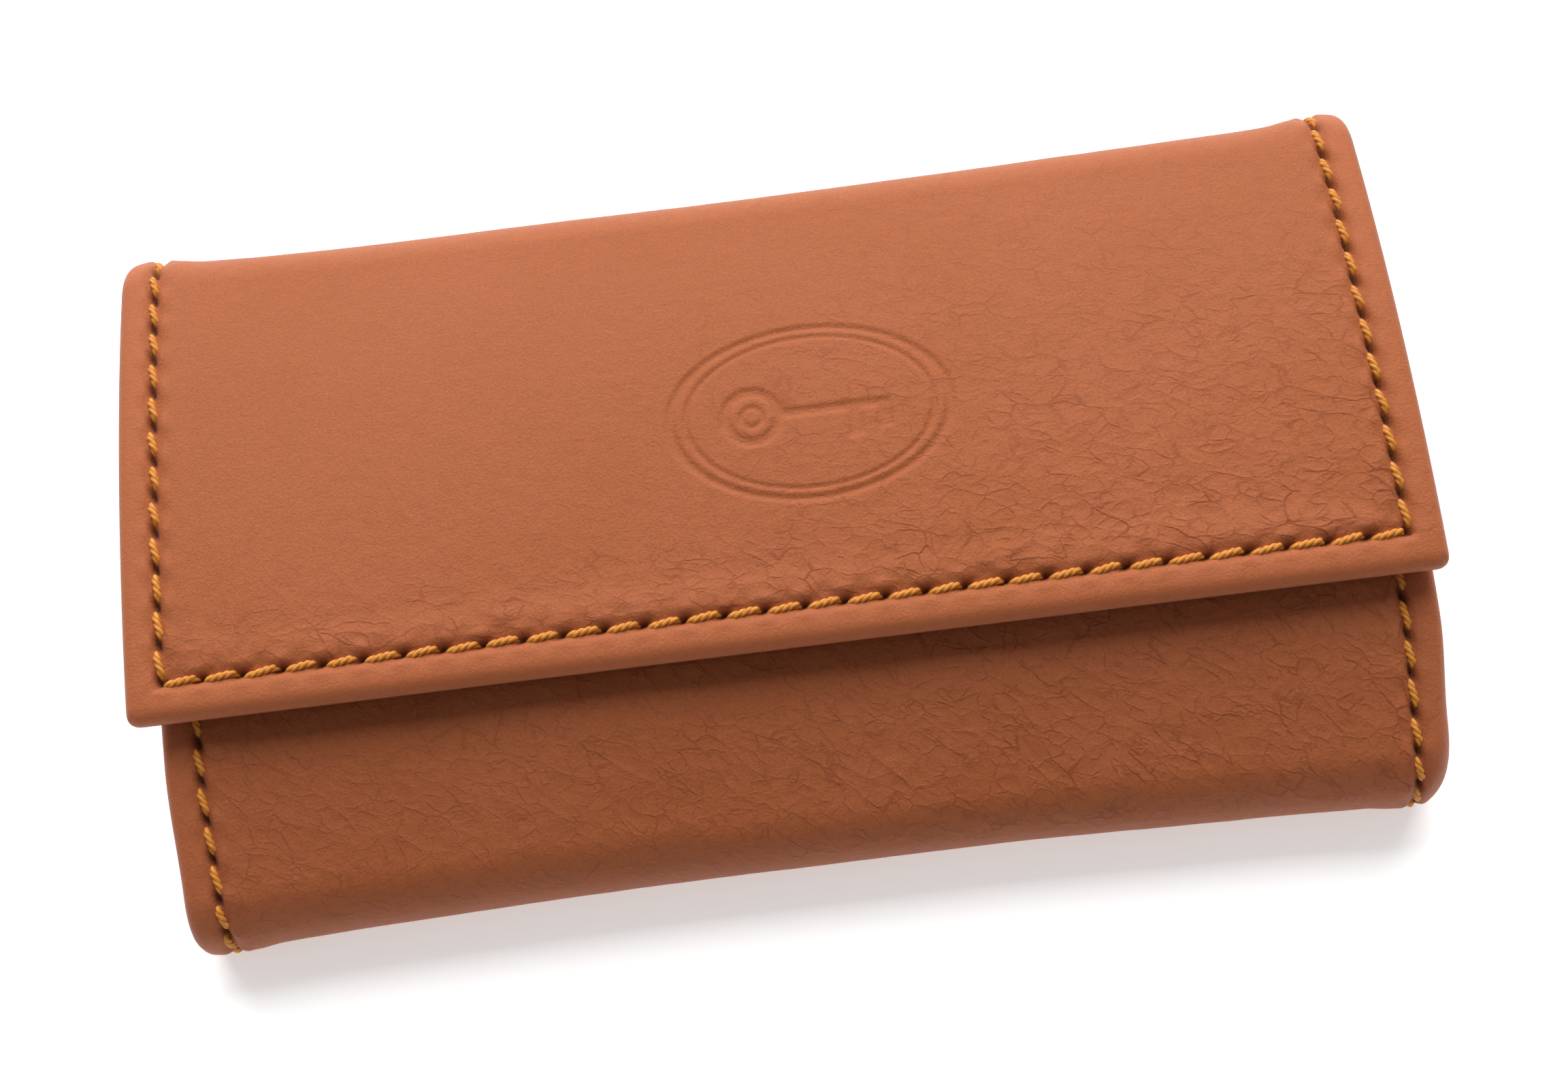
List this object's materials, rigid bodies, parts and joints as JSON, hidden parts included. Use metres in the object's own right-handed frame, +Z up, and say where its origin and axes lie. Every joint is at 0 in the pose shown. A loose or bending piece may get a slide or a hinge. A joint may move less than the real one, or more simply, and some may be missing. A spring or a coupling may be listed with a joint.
{
  "type": "key organiser",
  "caption": "Tri-fold leather key case that closes with a hidden press stud over a riveted rail of swivelling spring-gate key hooks.",
  "frame": {"origin": "middle of the back panel's outer face, on the plane that the closed case lies on", "axes": "+X along the case, parallel to the folds; +Y from the front fold to the rear fold; +Z up through the flap"},
  "size_m": [0.11, 0.0626, 0.0189],
  "materials": {
    "cognac_leather": "pebbled, satin",
    "lining_suede": "matt",
    "stiffener_board": "matt",
    "seam_thread": "satin",
    "nickel": "polished",
    "steel": "satin"
  },
  "bodies": {
    "back": {"back_outer_leather": "cognac_leather", "back_lining": "lining_suede", "back_stiffener_board": "stiffener_board", "back_seam_left": "seam_thread", "back_seam_right": "seam_thread", "hook_rail": "nickel", "hinge_rod": "steel", "rail_rivet_left": "nickel", "rail_rivet_right": "nickel"},
    "rear_spine": {"rear_spine_outer_leather": "cognac_leather", "rear_spine_lining": "lining_suede", "rear_spine_seam_left": "seam_thread", "rear_spine_seam_right": "seam_thread"},
    "flap": {"flap_outer_leather": "cognac_leather", "flap_stiffener_board": "stiffener_board", "flap_lining": "lining_suede", "flap_seam": "seam_thread", "snap_socket": "nickel", "snap_socket_cap": "nickel"},
    "front_spine": {"front_spine_outer_leather": "cognac_leather", "front_spine_lining": "lining_suede", "front_spine_seam_left": "seam_thread", "front_spine_seam_right": "seam_thread"},
    "front_panel": {"front_panel_outer_leather": "cognac_leather", "front_panel_stiffener_board": "stiffener_board", "front_panel_lining": "lining_suede", "front_panel_seam": "seam_thread", "snap_stud": "nickel", "snap_stud_washer": "nickel"},
    "hook_1_link": {"hook_link_1": "nickel"},
    "hook_1_body": {"hook_body_1": "nickel", "hook_gate_pin_1": "steel"},
    "hook_1_gate": {"hook_gate_1": "steel"},
    "hook_2_link": {"hook_link_2": "nickel"},
    "hook_2_body": {"hook_body_2": "nickel", "hook_gate_pin_2": "steel"},
    "hook_2_gate": {"hook_gate_2": "steel"},
    "hook_3_link": {"hook_link_3": "nickel"},
    "hook_3_body": {"hook_body_3": "nickel", "hook_gate_pin_3": "steel"},
    "hook_3_gate": {"hook_gate_3": "steel"},
    "hook_4_link": {"hook_link_4": "nickel"},
    "hook_4_body": {"hook_body_4": "nickel", "hook_gate_pin_4": "steel"},
    "hook_4_gate": {"hook_gate_4": "steel"},
    "hook_5_link": {"hook_link_5": "nickel"},
    "hook_5_body": {"hook_body_5": "nickel", "hook_gate_pin_5": "steel"},
    "hook_5_gate": {"hook_gate_5": "steel"},
    "hook_6_link": {"hook_link_6": "nickel"},
    "hook_6_body": {"hook_body_6": "nickel", "hook_gate_pin_6": "steel"},
    "hook_6_gate": {"hook_gate_6": "steel"}
  },
  "joints": [
    {"name": "rear_lower_crease", "type": "hinge", "parent": "back", "child": "rear_spine", "pos_m": [0, 0.02984, 0.00146], "axis": [-1, 0, 0], "range_deg": [0, 90]},
    {"name": "rear_upper_crease", "type": "hinge", "parent": "rear_spine", "child": "flap", "pos_m": [0, 0.0301, 0.01545], "axis": [-1, 0, 0], "range_deg": [0, 81]},
    {"name": "front_lower_crease", "type": "hinge", "parent": "back", "child": "front_spine", "pos_m": [0, -0.02989, 0.00141], "axis": [1, 0, 0], "range_deg": [0, 90]},
    {"name": "front_upper_crease", "type": "hinge", "parent": "front_spine", "child": "front_panel", "pos_m": [0, -0.0304, 0.0084], "axis": [1, 0, 0], "range_deg": [0, 71.5]},
    {"name": "hook_1_swing", "type": "hinge", "parent": "back", "child": "hook_1_link", "pos_m": [-0.027, 0.0161, 0.0074], "axis": [-1, 0, 0], "range_deg": [0, 12]},
    {"name": "hook_1_swivel", "type": "hinge", "parent": "hook_1_link", "child": "hook_1_body", "pos_m": [-0.027, 0.0161, 0.0074], "axis": [0, 1, 0], "continuous": true},
    {"name": "hook_1_gate", "type": "hinge", "parent": "hook_1_body", "child": "hook_1_gate", "pos_m": [-0.02415, 0.0071, 0.0074], "axis": [0, 0, -1], "range_deg": [0, 22], "stiffness_Nm_per_rad": 0.003, "springref_deg": -8.59},
    {"name": "hook_2_swing", "type": "hinge", "parent": "back", "child": "hook_2_link", "pos_m": [-0.0162, 0.0161, 0.0074], "axis": [-1, 0, 0], "range_deg": [0, 12]},
    {"name": "hook_2_swivel", "type": "hinge", "parent": "hook_2_link", "child": "hook_2_body", "pos_m": [-0.0162, 0.0161, 0.0074], "axis": [0, 1, 0], "continuous": true},
    {"name": "hook_2_gate", "type": "hinge", "parent": "hook_2_body", "child": "hook_2_gate", "pos_m": [-0.01335, 0.0071, 0.0074], "axis": [0, 0, -1], "range_deg": [0, 22], "stiffness_Nm_per_rad": 0.003, "springref_deg": -8.59},
    {"name": "hook_3_swing", "type": "hinge", "parent": "back", "child": "hook_3_link", "pos_m": [-0.0054, 0.0161, 0.0074], "axis": [-1, 0, 0], "range_deg": [0, 12]},
    {"name": "hook_3_swivel", "type": "hinge", "parent": "hook_3_link", "child": "hook_3_body", "pos_m": [-0.0054, 0.0161, 0.0074], "axis": [0, 1, 0], "continuous": true},
    {"name": "hook_3_gate", "type": "hinge", "parent": "hook_3_body", "child": "hook_3_gate", "pos_m": [-0.00255, 0.0071, 0.0074], "axis": [0, 0, -1], "range_deg": [0, 22], "stiffness_Nm_per_rad": 0.003, "springref_deg": -8.59},
    {"name": "hook_4_swing", "type": "hinge", "parent": "back", "child": "hook_4_link", "pos_m": [0.0054, 0.0161, 0.0074], "axis": [-1, 0, 0], "range_deg": [0, 12]},
    {"name": "hook_4_swivel", "type": "hinge", "parent": "hook_4_link", "child": "hook_4_body", "pos_m": [0.0054, 0.0161, 0.0074], "axis": [0, 1, 0], "continuous": true},
    {"name": "hook_4_gate", "type": "hinge", "parent": "hook_4_body", "child": "hook_4_gate", "pos_m": [0.00825, 0.0071, 0.0074], "axis": [0, 0, -1], "range_deg": [0, 22], "stiffness_Nm_per_rad": 0.003, "springref_deg": -8.59},
    {"name": "hook_5_swing", "type": "hinge", "parent": "back", "child": "hook_5_link", "pos_m": [0.0162, 0.0161, 0.0074], "axis": [-1, 0, 0], "range_deg": [0, 12]},
    {"name": "hook_5_swivel", "type": "hinge", "parent": "hook_5_link", "child": "hook_5_body", "pos_m": [0.0162, 0.0161, 0.0074], "axis": [0, 1, 0], "continuous": true},
    {"name": "hook_5_gate", "type": "hinge", "parent": "hook_5_body", "child": "hook_5_gate", "pos_m": [0.01905, 0.0071, 0.0074], "axis": [0, 0, -1], "range_deg": [0, 22], "stiffness_Nm_per_rad": 0.003, "springref_deg": -8.59},
    {"name": "hook_6_swing", "type": "hinge", "parent": "back", "child": "hook_6_link", "pos_m": [0.027, 0.0161, 0.0074], "axis": [-1, 0, 0], "range_deg": [0, 12]},
    {"name": "hook_6_swivel", "type": "hinge", "parent": "hook_6_link", "child": "hook_6_body", "pos_m": [0.027, 0.0161, 0.0074], "axis": [0, 1, 0], "continuous": true},
    {"name": "hook_6_gate", "type": "hinge", "parent": "hook_6_body", "child": "hook_6_gate", "pos_m": [0.02985, 0.0071, 0.0074], "axis": [0, 0, -1], "range_deg": [0, 22], "stiffness_Nm_per_rad": 0.003, "springref_deg": -8.59}
  ],
  "couplings": [
    {"joint": "rear_upper_crease", "follows": "rear_lower_crease", "ratio": 0.9},
    {"joint": "front_lower_crease", "follows": "rear_lower_crease", "ratio": 1},
    {"joint": "front_upper_crease", "follows": "rear_lower_crease", "ratio": 0.79444}
  ]
}
